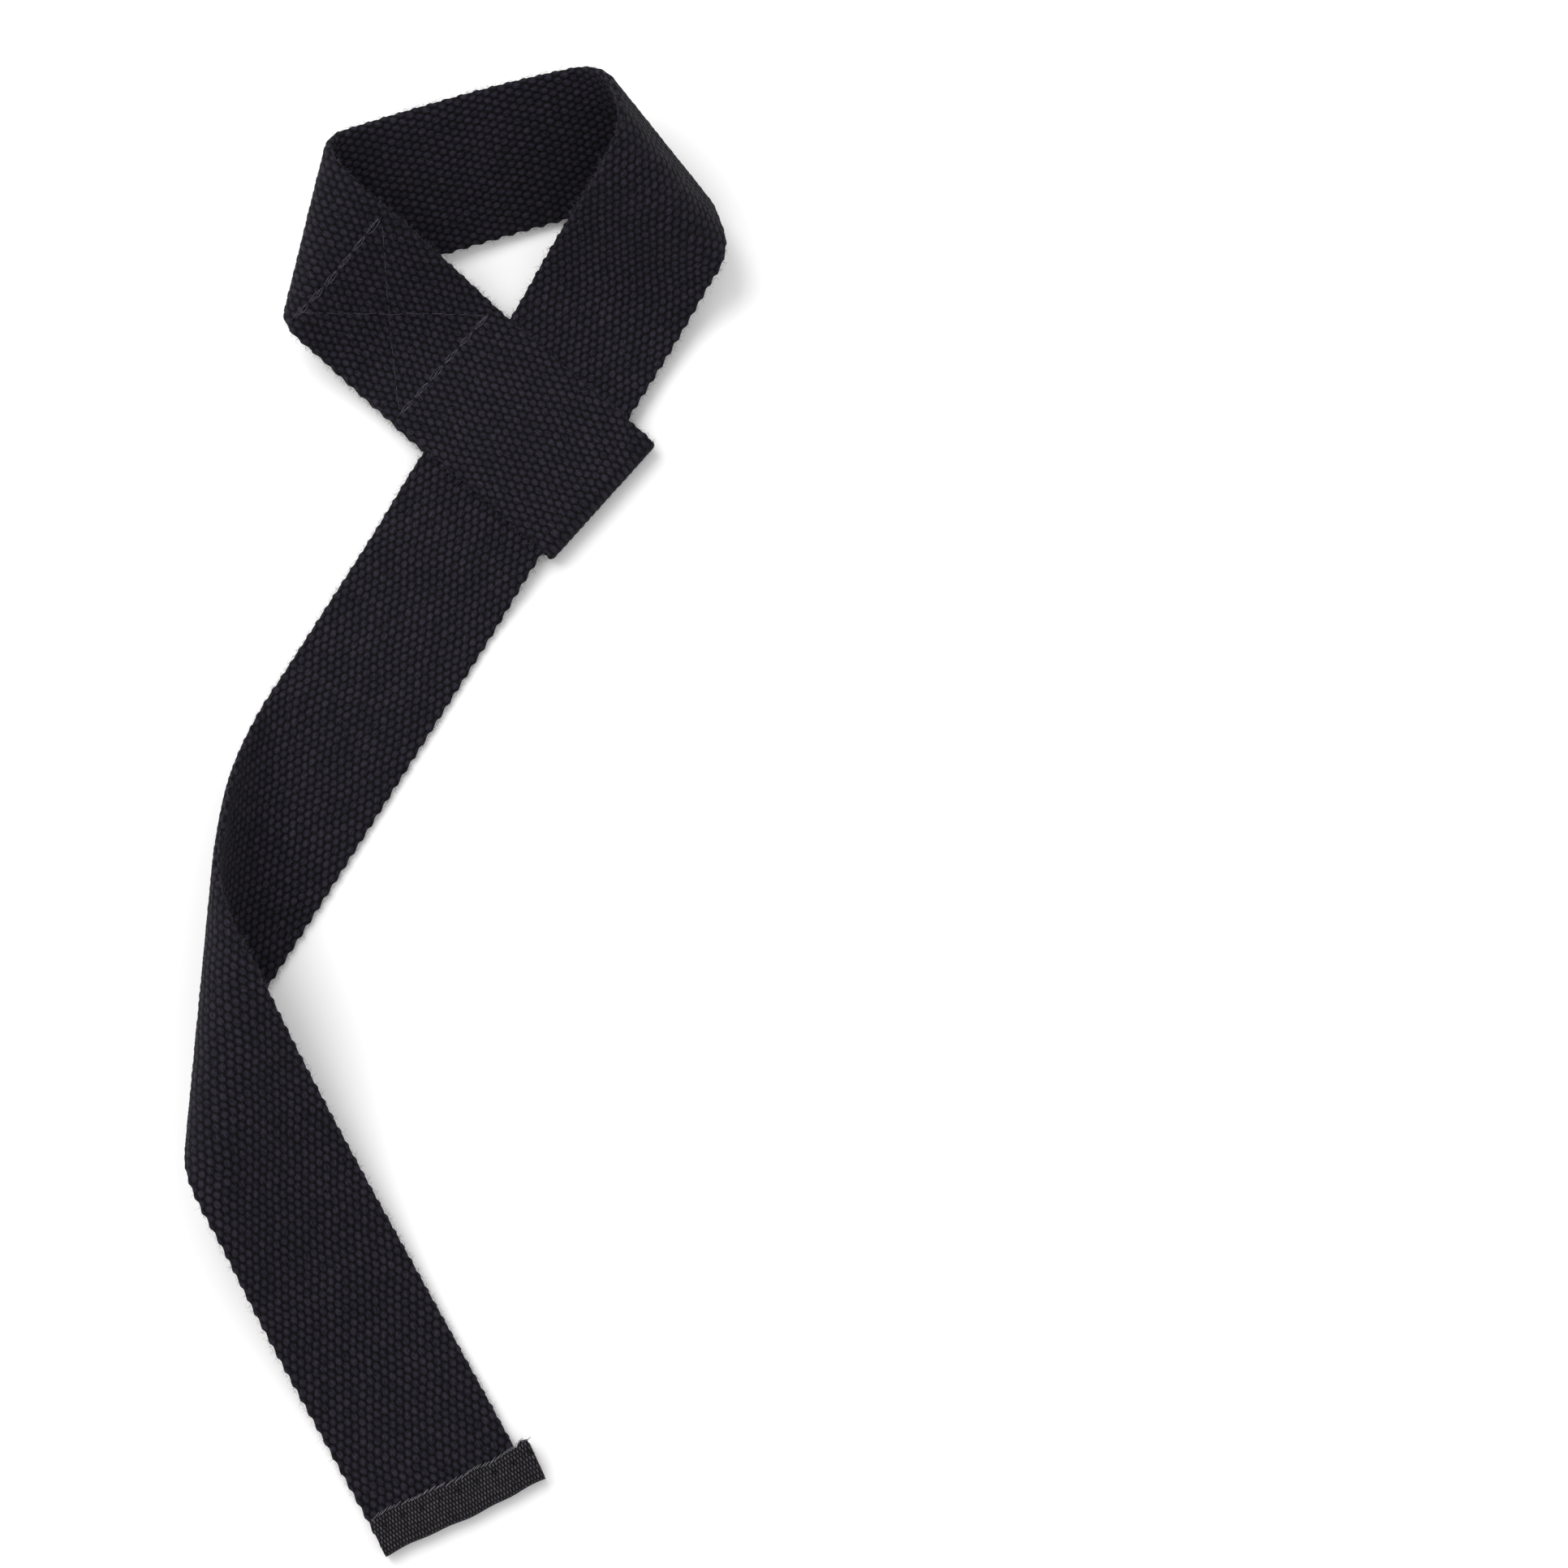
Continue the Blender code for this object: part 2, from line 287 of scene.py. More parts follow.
# The strip is laid about the eye's fold, and moved here to where the solid lies
laid = np.concatenate([plain_faces(noose_strip), plain_faces(tail_strip)])
solid_low, solid_high = (np.array(corner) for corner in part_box("strap_webbing"))
placing = 0.5 * (solid_low + solid_high) - 0.5 * (laid.min(axis=0) + laid.max(axis=0))
placing[2] = 0.0


def depth_below(along):
    """How far the folded-back layer lies under the upper one at a flat place."""
    share = np.clip((along - (eye_length - eye_closing)) / eye_closing, 0.0, 1.0)
    return layer_pitch * (2.0 - share * share * (3.0 - 2.0 * share))


def on_strip(strip, along, across):
    """Middle points and normals of a strip at flat places.

    The crease through a station s meets the flat places (s + across * slope, across), so the
    station of a flat place is found by taking across * slope off it until it settles.
    """
    settling_rounds = 60
    along, across = np.broadcast_arrays(along, across)
    station = along.copy()
    for _ in range(settling_rounds):
        station = along - across * np.interp(station, strip.along, strip.crease)
    rows = [np.interp(station, strip.along, column)
            for column in (*strip.points.T, *strip.span.T, *strip.normals.T)]
    rows = np.stack(rows, axis=-1)
    middle = rows[..., :3] + across[..., None] * rows[..., 3:6]
    normal = rows[..., 6:] / np.linalg.norm(rows[..., 6:], axis=-1, keepdims=True)
    return middle, normal


def on_noose(along, across):
    """Middle points and normals from the raw end, round the eye's fold and round the noose.

    Flat places below zero lie on the folded-back layer, which copies the upper one further down
    with its normal turned over. Round the eye's fold the strip is a half cylinder.
    """
    along, across = np.broadcast_arrays(along, across)
    middle, normal = on_strip(noose_strip, np.abs(along), across)
    below = (along < -eye_bend_run)[..., None]
    middle = np.where(below, middle - depth_below(-along)[..., None] * normal, middle)
    normal = np.where(below, -normal, normal)
    angle = (along / eye_bend_radius)[..., None]
    outward = upward * np.sin(angle) - eye_way * np.cos(angle)
    crosswise = np.cross(upward, eye_way) * across[..., None]
    centre = upper_start - upward * eye_bend_radius
    bend = (np.abs(along) <= eye_bend_run)[..., None]
    middle = np.where(bend, centre + eye_bend_radius * outward + crosswise, middle)
    return middle, np.where(bend, outward, normal)


def on_tail(along, across):
    """Middle points and normals from the middle of the eye to the tail's end."""
    return on_strip(tail_strip, along, across)


# Weave, in metres: the warp's crowns sit in a brick pattern, two picks and two warps apart
pick_pitch = 0.00195
warp_pitch = 0.00100
crown_half_length = 0.00134
crown_half_width = 0.00106
crown_height = 0.00042
crown_proud = 0.00008
edge_round = 0.0013
weave_row_step = 0.00065
weave_column_step = 0.0005

# Box and cross stitching, as flat places on the eye's upper layer, and how the holes dimple it
box_near, box_far = 0.0520, 0.0880
box_left, box_right = -0.0165, 0.0170
dimple_depth, dimple_reach = 0.00045, 0.0009

# The floor lies a hair under the solids, and no thread goes lower than thread_low
floor_height = -0.0002
thread_low = -0.0001


def wandered(along, across):
    """Flat places with the small slow drifts that beaten picks and warps have."""
    drift_along = 0.00022 * np.sin(across / 0.0061 + 1.7) * np.cos(along / 0.0230)
    drift_along += 0.00016 * np.sin(along / 0.0047 + across / 0.0131)
    drift_along += 0.00018 * np.sin(across / 0.0019 + along / 0.0071)
    drift_across = 0.00016 * np.sin(along / 0.0083) + 0.00010 * np.cos(along / 0.0037 + 0.4)
    drift_across += 0.00013 * np.sin(along / 0.0023 + across / 0.0049)
    return along + drift_along, across + drift_across


def crowns(along, across):
    """Height of the yarns from 0 in the gaps to 1 on the crowns.

    Two brick-wise grids of half ellipsoids, of which the higher one shows; each crown is a little
    higher or lower than its neighbours, by the fraction of a large sine of its two counts.
    """
    height = np.zeros(np.broadcast(along, across).shape)
    for shift in (0.0, 0.5):
        u, v = along / (2.0 * pick_pitch) + shift, across / (2.0 * warp_pitch) + shift
        i, j = np.round(u), np.round(v)
        reach = ((u - i) * 2.0 * pick_pitch / crown_half_length) ** 2
        reach = reach + ((v - j) * 2.0 * warp_pitch / crown_half_width) ** 2
        chance = np.abs(np.sin(12.99 * i + 78.23 * j + 31.7 * shift) * 437.5) % 1.0
        dome = np.sqrt(np.clip(1.0 - reach, 0.0, 1.0)) * (0.84 + 0.24 * chance)
        height = np.maximum(height, dome)
    return height


def scallop(along, side):
    """How far a selvedge bulges: weft loops every second pick, fuller on one side."""
    turn = 2.0 * pi * along / (2.0 * pick_pitch)
    full = 0.00026 * np.cos(turn + 0.6) + 0.00006 * np.cos(2.0 * turn)
    slight = 0.00014 * np.cos(turn) + 0.00011 * np.cos(2.0 * turn + 1.0)
    return np.where(side > 0.0, full, slight)


def stitch_ends(start, finish, count):
    """Needle holes of one line of stitches, evenly spaced between two flat places."""
    share = np.linspace(0.0, 1.0, count + 1)[:, None]
    return np.array(start) * (1.0 - share) + np.array(finish) * share


STITCH_LINES = [
    stitch_ends((box_near + 0.0004, box_left), (box_near - 0.0004, box_right), 6),
    stitch_ends((box_far + 0.0015, box_left), (box_far - 0.0010, box_right - 0.0010), 6),
    stitch_ends((box_far, box_right - 0.0030), (box_near + 0.0010, box_left + 0.0010), 7),
    stitch_ends((box_far, box_left + 0.0010), (box_near + 0.0005, box_right - 0.0010), 7),
]


def dimples(along, across):
    """How far the cloth is drawn in at the needle holes, as a sum of small bells."""
    depth = np.zeros(np.broadcast(along, across).shape)
    for hole_along, hole_across in np.concatenate(STITCH_LINES):
        apart = (np.abs(along) - hole_along) ** 2 + (across - hole_across) ** 2
        depth = depth + dimple_depth * np.exp(-apart / dimple_reach ** 2)
    return depth


def ring_profile():
    """Columns round the strip's section: place across, height, outward direction and face.

    Both faces are flat up to edge_round from the selvedge; there the section closes in a half
    ellipse. Columns are about half a warp apart.
    """
    flat_half = 0.5 * strap_width - edge_round
    flat = np.linspace(-flat_half, flat_half, 1 + round(2.0 * flat_half / weave_column_step))
    angles = np.radians([22.0, 42.0, 60.0, 76.0])
    half = 0.5 * webbing_thickness
    top = [(v, half, 0.0, 1.0, 1) for v in flat]
    right_top = [(flat_half + edge_round * sin(a), half * cos(a), sin(a), cos(a), 1)
                 for a in angles]
    right = [(flat_half + edge_round, 0.0, 1.0, 0.0, 0)]
    right_low = [(v, -h, a, -b, -1) for v, h, a, b, _ in reversed(right_top)]
    low = [(v, -half, 0.0, -1.0, -1) for v in flat[::-1]]
    left = [(-v, -h, -a, -b, -side) for v, h, a, b, side in right_top + right + right_low]
    return np.array(top + right_top + right + right_low + low + left).T


def mesh_piece(name, points, faces, material, flat_faces=0):
    """A mesh object at the origin; the last flat_faces faces are flat, the others smooth."""
    mesh = bpy.data.meshes.new(name)
    mesh.from_pydata(points.reshape(-1, 3).tolist(), [], faces)
    mesh.materials.append(material)
    smooth = np.ones(len(faces), bool)
    smooth[len(faces) - flat_faces:] = False
    mesh.polygons.foreach_set("use_smooth", smooth)
    piece = bpy.data.objects.new(name, mesh)
    bpy.context.scene.collection.objects.link(piece)
    return piece


def map_piece(piece, flat_places):
    """The piece's own map: the flat place of each face corner, in millimetres."""
    layer = piece.data.uv_layers.new(name="flat_mm")
    layer.data.foreach_set("uv", (1000.0 * flat_places).astype(np.float32).ravel())


def ring_faces(rows, ring):
    """Four-sided faces between rings of points, and the two end faces that close them."""
    index = np.arange(rows * ring).reshape(rows, ring)
    after = np.roll(index, -1, axis=1)
    sides = np.stack([index[:-1], index[1:], after[1:], after[:-1]], axis=-1).reshape(-1, 4)
    return sides, [index[0].tolist(), index[-1][::-1].tolist()]


def woven_sheet(name, place, start, finish, material):
    """The webbing between two flat places, as one closed sheet with its weave in relief.

    Rows along the strip carry the ring of columns; each point is the laid middle surface, moved
    out by half the thickness and by the yarns' crowns. The lower face's crowns lie one pick on,
    where the warps of the upper face dip.
    """
    nudge = 0.0001
    across, height, out_across, out_height, face = ring_profile()
    along = np.linspace(start, finish, 1 + round((finish - start) / weave_row_step))
    middle, normal = place(along[:, None], across)
    sideways = place(along[:, None], across + nudge)[0] - middle
    sideways /= np.linalg.norm(sideways, axis=2, keepdims=True)
    u, v = wandered(along[:, None] + np.where(face < 0, pick_pitch, 0.0), across)
    rounding = np.abs(out_across)
    relief = ((crowns(u, v) - 1.0) * crown_height + crown_proud) * (1.0 - 0.75 * rounding)
    relief = relief + scallop(along[:, None], across) * rounding ** 2
    relief = relief - dimples(along[:, None], across) * (rounding < 0.1)
    points = middle + (height + out_height * relief)[..., None] * normal
    points += (out_across * relief)[..., None] * sideways + placing

    sides, ends = ring_faces(len(along), len(across))
    piece = mesh_piece(name, points, sides.tolist() + ends, material, flat_faces=2)
    row, column = np.divmod(sides, len(across))
    on_low_side = (face[column] < 0).any(axis=1, keepdims=True)
    flat = wandered(along[row] + np.where(on_low_side, pick_pitch, 0.0), across[column])
    flat = np.stack(flat, axis=-1).reshape(-1, 2)
    map_piece(piece, np.concatenate([flat, np.zeros((2 * len(across), 2))]))
    return piece


def strands(name, lines, thickness, material, sides=5, tip=1.0):
    """Many thin threads of round section as one mesh: lines is (threads, points, 3).

    Each point carries a ring across its thread's direction; tip is the share of the thickness
    that is left at the far end. Threads under the strip are pressed flat at thread_low.
    """
    lines = np.asarray(lines)
    count, length, _ = lines.shape
    way = np.gradient(lines, axis=1)
    way /= np.linalg.norm(way, axis=2, keepdims=True) + 1e-12
    side = np.cross(way, np.where(np.abs(way[..., 2:]) < 0.9, upward, (1.0, 0.0, 0.0)))
    side /= np.linalg.norm(side, axis=2, keepdims=True)
    other = np.cross(way, side)
    turn = 2.0 * pi * np.arange(sides) / sides
    radius = 0.5 * thickness * np.linspace(1.0, tip, length)[None, :, None, None]
    ring = np.cos(turn)[:, None] * side[:, :, None] + np.sin(turn)[:, None] * other[:, :, None]
    points = lines[:, :, None] + radius * ring + placing
    points[..., 2] = np.maximum(points[..., 2], thread_low)
    index = np.arange(count * length * sides).reshape(count, length, sides)
    after = np.roll(index, -1, axis=2)
    quads = np.stack([index[:, :-1], after[:, :-1], after[:, 1:], index[:, 1:]], axis=-1)
    ends = index[:, 0, ::-1].tolist() + index[:, -1].tolist()
    return mesh_piece(name, points, quads.reshape(-1, 4).tolist() + ends, material)


def linear(code):
    """Linear colour of an sRGB hex code."""
    channels = np.array([int(code[i:i + 2], 16) / 255.0 for i in (1, 3, 5)])
    values = np.where(channels <= 0.04045, channels / 12.92, ((channels + 0.055) / 1.055) ** 2.4)
    return (*values.tolist(), 1.0)


def add_node(tree, kind, inputs=(), **settings):
    """A node with its settings; inputs gives each socket a value or another node's socket."""
    made = tree.nodes.new(kind)
    for key, value in settings.items():
        setattr(made, key, value)
    for socket, value in dict(inputs).items():
        if isinstance(value, bpy.types.NodeSocket):
            tree.links.new(value, made.inputs[socket])
        else:
            made.inputs[socket].default_value = value
    return made


def new_material(name, roughness, sheen, specular):
    """A material with only its shader, and the shader's constant sockets set."""
    material = bpy.data.materials.new(name)
    material.use_nodes = True
    shader = material.node_tree.nodes["Principled BSDF"]
    shader.inputs["Roughness"].default_value = roughness
    shader.inputs["Metallic"].default_value = 0.0
    shader.inputs["Sheen Weight"].default_value = sheen
    shader.inputs["Sheen Roughness"].default_value = 0.45
    shader.inputs["Specular IOR Level"].default_value = specular
    return material, material.node_tree, shader


def weave_sockets(tree, pick, warp, half_length, half_width):
    """Sockets for the height of the yarns and a chance value for each crown, from flat_mm.

    The same two brick-wise grids of half ellipsoids as in the mesh, sizes in millimetres.
    """
    place = add_node(tree, "ShaderNodeUVMap", uv_map="flat_mm").outputs[0]
    split = add_node(tree, "ShaderNodeSeparateXYZ", {0: place})

    def math(operation, *values):
        return add_node(tree, "ShaderNodeMath", enumerate(values), operation=operation).outputs[0]

    domes, chances = [], []
    for shift in (0.0, 0.5):
        squares, counts = [], []
        for socket, pitch, half in ((split.outputs[0], 2.0 * pick, half_length),
                                    (split.outputs[1], 2.0 * warp, half_width)):
            share = math("MULTIPLY_ADD", socket, 1.0 / pitch, shift)
            count = math("ROUND", share)
            off = math("MULTIPLY", math("SUBTRACT", share, count), pitch / half)
            squares.append(math("MULTIPLY", off, off))
            counts.append(count)
        reach = math("ADD", *squares)
        domes.append(math("SQRT", math("MAXIMUM", math("SUBTRACT", 1.0, reach), 0.0)))
        cell = add_node(tree, "ShaderNodeCombineXYZ", {0: counts[0], 1: counts[1], 2: shift})
        noise = add_node(tree, "ShaderNodeTexWhiteNoise", {0: cell.outputs[0]})
        chances.append(noise.outputs["Value"])
    first = math("GREATER_THAN", *domes)
    chance = add_node(tree, "ShaderNodeMix", {0: first, 2: chances[1], 3: chances[0]}).outputs[0]
    return place, math("MAXIMUM", *domes), chance, math


def streaks(tree, place, turn, along_mm, across_mm):
    """Fine streaks of spun fibres, long one way and narrow the other, in millimetres."""
    mapped = add_node(tree, "ShaderNodeMapping",
                      {"Vector": place, "Rotation": (0.0, 0.0, radians(turn)),
                       "Scale": (1.0 / along_mm, 1.0 / across_mm, 1.0)})
    return add_node(tree, "ShaderNodeTexNoise",
                    {"Vector": mapped.outputs[0], "Scale": 1.0, "Detail": 2.0, "Roughness": 0.6})


def woven_cotton(name, gap_shade, crown, pick, warp, half_length, half_width, relief):
    """Dyed woven cotton: dull spun yarns with painted shade in the gaps, each crown of its own
    tone.

    The streaks are drawn coarser than real fibres, so that they still show in the picture; a slow
    patchiness keeps the cloth from looking even. All sizes are in millimetres.
    """
    material, tree, shader = new_material(name, roughness=0.90, sheen=0.03, specular=0.10)
    place, dome, chance, math = weave_sockets(tree, pick, warp, half_length, half_width)
    fibre = streaks(tree, place, turn=28.0, along_mm=1.1, across_mm=0.34).outputs["Fac"]
    patch = add_node(tree, "ShaderNodeTexNoise", {"Vector": place, "Scale": 0.09, "Detail": 2.0})
    # Painted shade: the gaps take the dark gap colour and only the crowns' tops are lit, times the
    # fibre streaks
    lit = math("MULTIPLY", math("POWER", dome, 2.7), math("MULTIPLY_ADD", fibre, 3.6, -0.90))
    ramp = add_node(tree, "ShaderNodeMix", {0: lit, 6: linear(gap_shade), 7: linear(crown)},
                    data_type="RGBA", clamp_factor=True)
    hue = add_node(tree, "ShaderNodeMapRange", {"Value": chance, "To Min": 0.485, "To Max": 0.515})
    bright = math("MULTIPLY", math("MULTIPLY_ADD", chance, 0.36, 0.82),
                  math("MULTIPLY_ADD", patch.outputs["Fac"], 0.4, 0.8))
    toned = add_node(tree, "ShaderNodeHueSaturation",
                     {"Hue": hue.outputs[0], "Saturation": 1.0, "Value": bright,
                      "Color": ramp.outputs[2]})
    tree.links.new(toned.outputs[0], shader.inputs["Base Color"])
    height = math("MULTIPLY_ADD", fibre, 0.22, dome)
    bump = add_node(tree, "ShaderNodeBump",
                    {"Height": height, "Strength": 0.8, "Distance": relief / 1000.0})
    tree.links.new(bump.outputs[0], shader.inputs["Normal"])
    return material


def spun_thread(name, shade, roughness):
    """Twisted polyester sewing thread: a slight gloss, paler and darker along its length."""
    material, tree, shader = new_material(name, roughness, sheen=0.03, specular=0.25)
    place = add_node(tree, "ShaderNodeTexCoord").outputs["Object"]
    twist = add_node(tree, "ShaderNodeTexNoise", {"Vector": place, "Scale": 2500.0, "Detail": 1.0})
    tint = add_node(tree, "ShaderNodeMapRange",
                    {"Value": twist.outputs["Fac"], "From Min": 0.3, "From Max": 0.7,
                     "To Min": 0.35, "To Max": 1.5})
    toned = add_node(tree, "ShaderNodeHueSaturation",
                     {"Value": tint.outputs[0], "Color": linear(shade)})
    tree.links.new(toned.outputs[0], shader.inputs["Base Color"])
    return material


# The webbing's weave is the mesh's own, in millimetres; the tape's is finer and only in the shader.
# The gap colours are painted shade between the crowns.
cotton = woven_cotton("dyed_cotton_webbing", gap_shade="#020202", crown="#27242e", pick=1.95, warp=1.0,
                      half_length=1.34, half_width=1.06, relief=0.42)
tape_cotton = woven_cotton("dyed_cotton_tape", gap_shade="#030303", crown="#444147", pick=1.0, warp=0.40,
                           half_length=0.62, half_width=0.32, relief=0.16)
pale_thread = spun_thread("grey_sewing_thread", shade="#4b4954", roughness=0.6)
edge_thread = spun_thread("pale_edging_thread", shade="#68666d", roughness=0.6)
dark_thread_and_hole_shade = spun_thread("black_thread_and_hole_shade", shade="#050405", roughness=0.8)
loose_fibre = spun_thread("loose_cotton_fibre", shade="#4a4852", roughness=0.8)

noose = woven_sheet("webbing_noose", on_noose, -raw_end, through_eye, cotton)
tail = woven_sheet("webbing_tail", on_tail, through_eye, tail_end, cotton)


def thread_lines(place, lines, lift, sink, spacing, count, seed):
    """Strands of each stitch, side by side: low in the needle holes and resting between them.

    A strand's height is the lift less the sink times the eighth power of its place along the
    stitch, counted from the middle. Strands draw together at the holes and sway a little.
    """
    chance = np.random.default_rng(seed)
    share = np.linspace(0.0, 1.0, 11)[None, :, None]
    made = []
    for holes in lines:
        start, finish = holes[:-1, None], holes[1:, None]
        way = (finish - start) / np.linalg.norm(finish - start, axis=2, keepdims=True)
        beside = np.stack([-way[..., 1], way[..., 0]], axis=-1)
        for strand in range(count):
            offset = (strand - 0.5 * (count - 1)) * spacing
            offset = offset + chance.normal(0.0, 0.2 * spacing, (len(start), 1, 1))
            spread = 1.0 - 0.6 * np.abs(2.0 * share - 1.0) ** 3
            phase = 9.0 * share + 2.0 * strand + 3.0 * start[..., 1:] / strap_width
            sway = 0.00010 * np.sin(phase)
            flat = start * (1.0 - share) + finish * share + beside * (offset * spread + sway)
            middle, normal = place(flat[..., 0], flat[..., 1])
            height = 0.5 * webbing_thickness + lift - sink * np.abs(2.0 * share - 1.0) ** 8
            made.append(middle + height * normal)
    return np.concatenate(made)


box_threads = thread_lines(on_noose, STITCH_LINES[:2], lift=-0.00003, sink=0.0006,
                           spacing=0.00042, count=3, seed=1)
cross_threads = thread_lines(on_noose, STITCH_LINES[2:], lift=-0.00005, sink=0.0009,
                             spacing=0.00030, count=1, seed=2)
under_lines = [holes * (-1.0, 1.0) for holes in STITCH_LINES]
under_threads = thread_lines(on_noose, under_lines, lift=0.00006, sink=0.0005,
                             spacing=0.00030, count=1, seed=3)
stitching = strands("box_stitching", box_threads, 0.00013, pale_thread)
cross = strands("cross_stitching", cross_threads, 0.00010, pale_thread)
under = strands("stitching_below", under_threads, 0.00018, dark_thread_and_hole_shade)

# Binding: a frame at the tail's end, X square to its cut, Y towards the overhang, Z up
end_point = tail_strip.points[-1]
end_way, end_up = np.cross(tail_strip.span[-1], tail_strip.normals[-1]), -tail_strip.normals[-1]
end_way /= np.linalg.norm(end_way)
end_across = np.cross(end_up, end_way)
binding_reach = 0.5 * webbing_thickness + lay_gap + 0.5 * binding_thickness
binding_flat = binding_length - binding_reach
binding_run = 2.0 * binding_flat + pi * binding_reach

# The binding's needle holes: how far apart they are, how far in from the tape's edge their row
# lies, and how far the middle hole is off the strip's centre line
hole_pitch = 0.0047
hole_row = 0.0027
middle_hole = 0.0027


def on_binding(along, across):
    """Middle points and outward normals of the tape at its own flat places.

    Along runs from the upper edge, round the strip's end, to the lower edge: straight, half a
    circle, straight. Past the webbing's side the tape splays a little.
    """
    along, across = np.broadcast_arrays(along, across)
    angle = np.clip((along - binding_flat) / binding_reach, 0.0, pi)
    back = np.maximum(along - binding_flat - pi * binding_reach, 0.0)
    x = np.minimum(along, binding_flat) - binding_flat + binding_reach * np.sin(angle) - back
    z = binding_reach * np.cos(angle)
    splay = np.clip((across - 0.5 * strap_width) / binding_overhang, 0.0, 1.0)
    x = x - 0.0010 * np.sin(2.5 * splay) * (1.0 - np.clip(along / binding_flat, 0.0, 1.0))
    x = x + 0.00025 * np.sin(across / 0.0052 + 0.8) + 0.00012 * np.sin(across / 0.0017)
    z = z + 0.0003 * splay * np.cos(0.5 * angle)
    normal = np.sin(angle)[..., None] * end_way + np.cos(angle)[..., None] * end_up
    point = end_point + (x + lay_gap)[..., None] * end_way + across[..., None] * end_across
    return point + z[..., None] * end_up, normal


def binding_tape(name, material):
    """The tape as one closed sheet, drawn in along its row of needle holes.

    Rows run across the strip; the ring of columns follows the tape's outer face, round its raw
    edges, and back along its inner face. Dips are bells about each hole and a shallow channel.
    """
    step, edge_inset = 0.0003, 0.0002
    channel_depth, channel_reach = 0.00008, 0.0011
    hole_depth, hole_reach = 0.00065, 0.00055
    low, high = -0.5 * strap_width, 0.5 * strap_width + binding_overhang
    rows = np.linspace(low, high, 1 + round((high - low) / step))[:, None]
    flat = np.linspace(edge_inset, binding_run - edge_inset, 1 + round(binding_run / step))
    along = np.concatenate([flat, [binding_run], flat[::-1], [0.0]])
    side = np.concatenate([np.ones(len(flat)), [0.0], -np.ones(len(flat)), [0.0]])
    middle, normal = on_binding(along, rows)
    near_hole = (rows - middle_hole) / hole_pitch
    near_hole = (near_hole - np.round(near_hole)) * hole_pitch
    dip = 0.0
    for row in (hole_row, binding_run - hole_row):
        channel = np.exp(-((along - row) / channel_reach) ** 2)
        dip = dip + channel * channel_depth
        apart = (along - row) ** 2 + near_hole ** 2
        dip = dip + hole_depth * np.exp(-apart / hole_reach ** 2)
    half = 0.5 * binding_thickness - 0.00005
    points = middle + (side * half - dip * (side > 0))[..., None] * normal + placing
    sides, ends = ring_faces(len(rows), len(along))
    piece = mesh_piece(name, points, sides.tolist() + ends, material, flat_faces=2)
    row, column = np.divmod(sides, len(along))
    places = np.stack([along[column], rows[row, 0]], axis=-1).reshape(-1, 2)
    map_piece(piece, np.concatenate([places, np.zeros((2 * len(along), 2))]))
    return piece


binding = binding_tape("binding_tape", tape_cotton)


def edging_lines(seed):
    """Short slanted threads that bind the tape's upper edge, a little under a millimetre apart."""
    spacing = 0.00085
    chance = np.random.default_rng(seed)
    across = np.arange(-0.5 * strap_width + 0.0004, 0.5 * strap_width + binding_overhang, spacing)
    across = (across + chance.normal(0.0, 0.00012, len(across)))[:, None]
    share = np.linspace(0.0, 1.0, 7)[None]
    along = 0.0004 - 0.0007 * share + chance.normal(0.0, 0.00014, (len(across), 1))
    place, normal = on_binding(np.maximum(along, 0.0), across + 0.0016 * share)
    beyond = np.minimum(along, 0.0)[..., None] * end_way
    height = 0.00046 - 0.0004 * (2.0 * share - 1.0) ** 4
    return place + beyond + height[..., None] * normal


def hole_shade_stitches(place, spots, lift):
    """Short dark threads that dive into the needle holes at some flat places, as painted shade in
    the holes.

    Each runs across the strip and stands highest over its own middle, as a parabola does.
    """
    share = np.linspace(-1.0, 1.0, 7)[None]
    across = spots[:, 1:] + 0.00050 * share
    middle, normal = place(np.broadcast_to(spots[:, :1], across.shape), across)
    return middle + (lift - 0.00030 * share ** 2)[..., None] * normal


binding_holes = np.array([(row, middle_hole + hole_pitch * k)
                          for row in (hole_row, binding_run - hole_row) for k in range(-4, 5)])
box_holes = np.concatenate(STITCH_LINES[:2])
edging = strands("binding_edging", edging_lines(4), 0.00017, edge_thread)
# The dark stitches at the binding's and the box's needle holes are painted shade in the holes
binding_hole_shade = strands("binding_hole_shade", hole_shade_stitches(on_binding, binding_holes, 0.00034),
                           0.00042, dark_thread_and_hole_shade)
box_hole_shade = strands("box_hole_shade", hole_shade_stitches(on_noose, box_holes, 0.5 * webbing_thickness),
                    0.00036, dark_thread_and_hole_shade)


def fray_lines(seed):
    """Loosened fibres at the raw end: each leaves the cut edge and curls a little as it goes."""
    chance = np.random.default_rng(seed)
    count = 90
    across = chance.uniform(-0.5, 0.5, (count, 1)) * strap_width
    share = np.linspace(0.0, 1.0, 6)[None]
    reach = chance.uniform(0.0006, 0.0028, (count, 1))
    along = -raw_end - reach * share
    swing = chance.normal(0.0, 0.0007, (count, 1)) * share ** 2
    middle, normal = on_noose(along, across + swing)
    height = chance.uniform(-0.8, 0.8, (count, 1)) * 0.5 * webbing_thickness * (1.0 - 0.3 * share)
    return middle + height[..., None] * normal


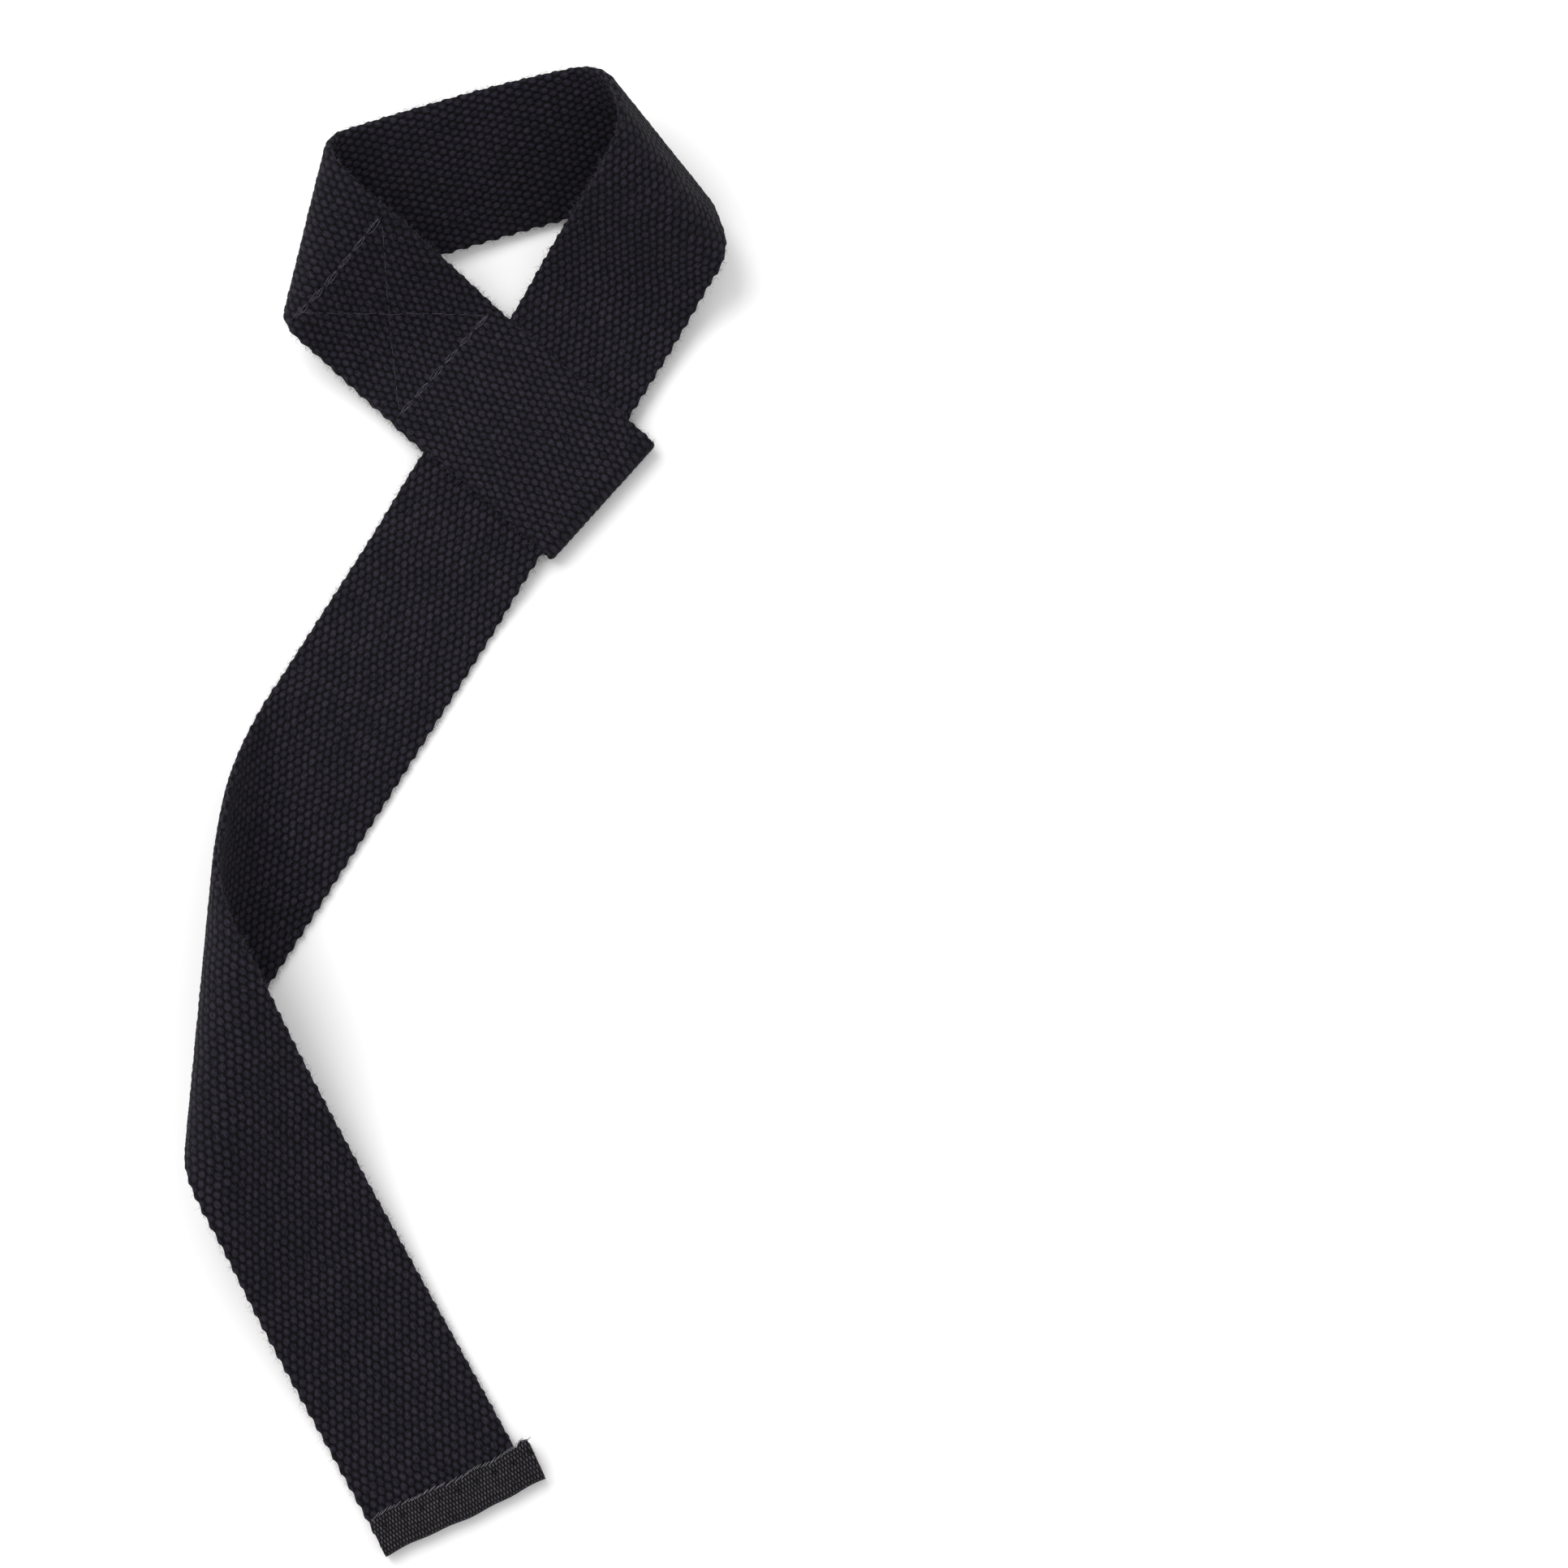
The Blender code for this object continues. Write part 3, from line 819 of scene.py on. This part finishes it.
def fuzz_lines(place, start, finish, count, seed):
    """Short loose fibres: half of them stand off the selvedges, the others lie on the faces."""
    chance = np.random.default_rng(seed)
    along = chance.uniform(start, finish, (count, 1))
    face = chance.choice((-1.0, 1.0), (count, 1), p=(0.2, 0.8))
    on_edge = chance.random((count, 1)) < 0.5
    edge = chance.choice((-0.5, 0.5), (count, 1)) * (strap_width + 0.0002)
    across = np.where(on_edge, edge, chance.uniform(-0.49, 0.49, (count, 1)) * strap_width)
    share = np.linspace(0.0, 1.0, 4)[None]
    length = chance.uniform(0.0004, 0.0013, (count, 1))
    heading = chance.uniform(0.0, 2.0 * pi, (count, 1))
    curl = chance.normal(0.0, 0.8, (count, 1))
    outward = np.where(on_edge, np.sign(across), 0.0)
    run = along + length * np.cos(heading + curl * share) * share
    over = across + length * (np.sin(heading + curl * share) * 0.6 + outward * 0.6) * share
    middle, normal = place(run, over)
    height = np.where(on_edge, 0.0, face * 0.5 * webbing_thickness)
    height = height + face * length * 0.30 * share
    return middle + height[..., None] * normal


# The fuzz stops short of the raw end and of the binding
noose_fibres = fuzz_lines(on_noose, -raw_end + 0.002, through_eye, count=5200, seed=6)
tail_fibres = fuzz_lines(on_tail, through_eye, tail_end - 0.014, count=4200, seed=7)
frays = strands("raw_end_frays", fray_lines(5), 0.00012, loose_fibre, sides=4, tip=0.4)
noose_fuzz = strands("noose_fuzz", noose_fibres, 0.00005, loose_fibre, sides=3, tip=0.4)
tail_fuzz = strands("tail_fuzz", tail_fibres, 0.00005, loose_fibre, sides=3, tip=0.4)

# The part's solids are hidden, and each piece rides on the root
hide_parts("strap_webbing")
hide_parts("strap_webbing")
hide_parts("tail_binding")
trims = [stitching, cross, under, box_hole_shade, edging, binding_hole_shade, frays, noose_fuzz, tail_fuzz]
for piece in [noose, tail, binding, *trims]:
    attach(piece, "root")


def studio(aim):
    """Plain pale floor, soft daylight from all round and one large lamp from the upper left."""
    floor_mesh = bpy.data.meshes.new("floor")
    floor_mesh.from_pydata([(-4, -4, 0), (4, -4, 0), (4, 4, 0), (-4, 4, 0)], [], [(0, 1, 2, 3)])
    floor = bpy.data.objects.new("floor", floor_mesh)
    floor.location = (0.0, 0.0, floor_height)
    bpy.context.scene.collection.objects.link(floor)
    paper, _, shader = new_material("matt_white_paper", roughness=0.9, sheen=0.0, specular=0.2)
    shader.inputs["Base Color"].default_value = linear("#f4f3f3")
    floor_mesh.materials.append(paper)

    world = bpy.data.worlds.new("soft_white_room")
    world.use_nodes = True
    background = world.node_tree.nodes["Background"]
    background.inputs["Color"].default_value = (1.0, 1.0, 1.0, 1.0)
    background.inputs["Strength"].default_value = 0.9
    bpy.context.scene.world = world

    lamp_data = bpy.data.lights.new("large_softbox", "AREA")
    lamp_data.shape, lamp_data.size, lamp_data.size_y = "RECTANGLE", 0.9, 0.9
    lamp_data.energy = 12.0
    lamp = bpy.data.objects.new("large_softbox", lamp_data)
    lamp.location = (aim[0] - 0.65, aim[1] + 0.55, 1.05)
    lamp.rotation_euler = (radians(-28.0), radians(-32.0), 0.0)
    bpy.context.scene.collection.objects.link(lamp)


def photograph_camera(aim):
    """The camera one metre off, tipped ten degrees from straight down, as the picture was taken."""
    lens = bpy.data.cameras.new("camera")
    lens.sensor_width = 36.0
    lens.angle = 2.0 * atan2(0.5 * picture_width, camera_distance)
    camera = bpy.data.objects.new("camera", lens)
    back = camera_distance * sin(camera_tip)
    camera.location = (aim[0], aim[1] - back, camera_distance * cos(camera_tip))
    camera.rotation_euler = (camera_tip, 0.0, 0.0)
    bpy.context.scene.collection.objects.link(camera)
    bpy.context.scene.camera = camera


# The camera's fit to the photograph: how far off, how far tipped, how wide the picture is where
# it aims, and the place on the floor that it aims at, from the middle of the eye's fold
camera_distance = 1.0
camera_tip = radians(10.0)
picture_width = 0.3773
aim = placing + np.array([0.0436, -0.0687, 0.0])
studio(aim)
photograph_camera(aim)
bpy.context.scene.view_settings.view_transform = "Standard"
